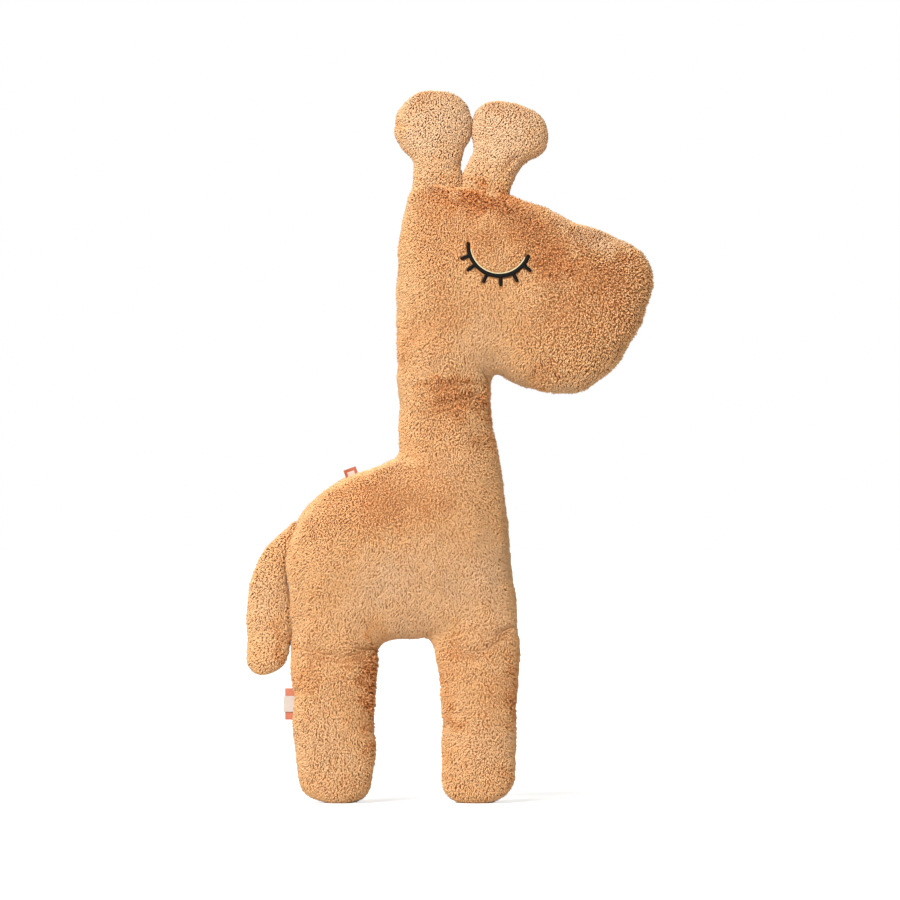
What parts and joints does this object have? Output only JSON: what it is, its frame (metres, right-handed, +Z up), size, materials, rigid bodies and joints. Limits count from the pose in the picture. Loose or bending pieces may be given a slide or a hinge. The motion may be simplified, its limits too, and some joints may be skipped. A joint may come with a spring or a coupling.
{
  "type": "plush giraffe",
  "caption": "Flat stuffed plush giraffe that stands on stubby legs, with a long neck, blunt snout, knobbed ossicones, hanging tail and embroidered sleeping eyes, for cuddling and play.",
  "frame": {"origin": "on the floor under the middle of the toy's outline", "axes": "+X the way the giraffe looks, +Z up, the near side that the picture shows towards -Y"},
  "size_m": [0.4254, 0.1326, 0.749],
  "materials": {
    "plush": "short dense plush pile",
    "filling": "loose polyester fibre",
    "black_thread": "satin stitch",
    "cream_thread": "satin stitch",
    "coral_tape": "woven tape",
    "white_tape": "satin tape"
  },
  "bodies": {
    "torso": {"torso_near_panel": "plush", "torso_far_panel": "plush", "torso_filling": "filling"},
    "neck": {"neck_near_panel": "plush", "neck_far_panel": "plush", "neck_filling": "filling"},
    "head": {"head_near_panel": "plush", "head_far_panel": "plush", "head_filling": "filling", "near_eye_embroidery": "black_thread", "near_eye_edging": "cream_thread", "far_eye_embroidery": "black_thread", "far_eye_edging": "cream_thread"},
    "front_leg": {"front_leg_near_panel": "plush", "front_leg_far_panel": "plush", "front_leg_filling": "filling"},
    "rear_leg": {"rear_leg_near_panel": "plush", "rear_leg_far_panel": "plush", "rear_leg_filling": "filling"},
    "tail": {"tail_near_panel": "plush", "tail_far_panel": "plush", "tail_filling": "filling"},
    "rear_ossicone": {"rear_ossicone_near_panel": "plush", "rear_ossicone_far_panel": "plush", "rear_ossicone_filling": "filling"},
    "front_ossicone": {"front_ossicone_near_panel": "plush", "front_ossicone_far_panel": "plush", "front_ossicone_filling": "filling"},
    "back_label": {"back_label_tape": "coral_tape"},
    "care_label": {"care_label_cover": "coral_tape", "care_label_page": "white_tape"}
  },
  "joints": [
    {"name": "neck_tilt", "type": "hinge", "parent": "torso", "child": "neck", "pos_m": [-0.0003, 0, 0.337], "axis": [1, 0, 0], "range_deg": [-15, 15], "stiffness_Nm_per_rad": 6},
    {"name": "head_nod", "type": "hinge", "parent": "neck", "child": "head", "pos_m": [-0.0003, 0, 0.475], "axis": [0, 1, 0], "range_deg": [-12, 12], "stiffness_Nm_per_rad": 8},
    {"name": "front_leg_fold", "type": "hinge", "parent": "torso", "child": "front_leg", "pos_m": [0.0247, 0, 0.217], "axis": [1, 0, 0], "range_deg": [-25, 25], "stiffness_Nm_per_rad": 8},
    {"name": "rear_leg_fold", "type": "hinge", "parent": "torso", "child": "rear_leg", "pos_m": [-0.1163, 0, 0.217], "axis": [1, 0, 0], "range_deg": [-25, 25], "stiffness_Nm_per_rad": 8},
    {"name": "tail_wag", "type": "hinge", "parent": "torso", "child": "tail", "pos_m": [-0.1683, 0, 0.276], "axis": [1, 0, 0], "range_deg": [-25, 25], "stiffness_Nm_per_rad": 0.3},
    {"name": "rear_ossicone_flop", "type": "hinge", "parent": "head", "child": "rear_ossicone", "pos_m": [-0.0138, 0, 0.645], "axis": [1, 0, 0], "range_deg": [-20, 20], "stiffness_Nm_per_rad": 0.4},
    {"name": "front_ossicone_flop", "type": "hinge", "parent": "head", "child": "front_ossicone", "pos_m": [0.0392, 0, 0.641], "axis": [1, 0, 0], "range_deg": [-20, 20], "stiffness_Nm_per_rad": 0.4},
    {"name": "back_label_flap", "type": "hinge", "parent": "torso", "child": "back_label", "pos_m": [-0.1023, 0, 0.3435], "axis": [0.9397, 0, 0.342], "range_deg": [-50, 50], "stiffness_Nm_per_rad": 0.00002},
    {"name": "care_label_flap", "type": "hinge", "parent": "rear_leg", "child": "care_label", "pos_m": [-0.1658, 0, 0.104], "axis": [0, 0, 1], "range_deg": [-60, 60], "stiffness_Nm_per_rad": 0.00005}
  ]
}
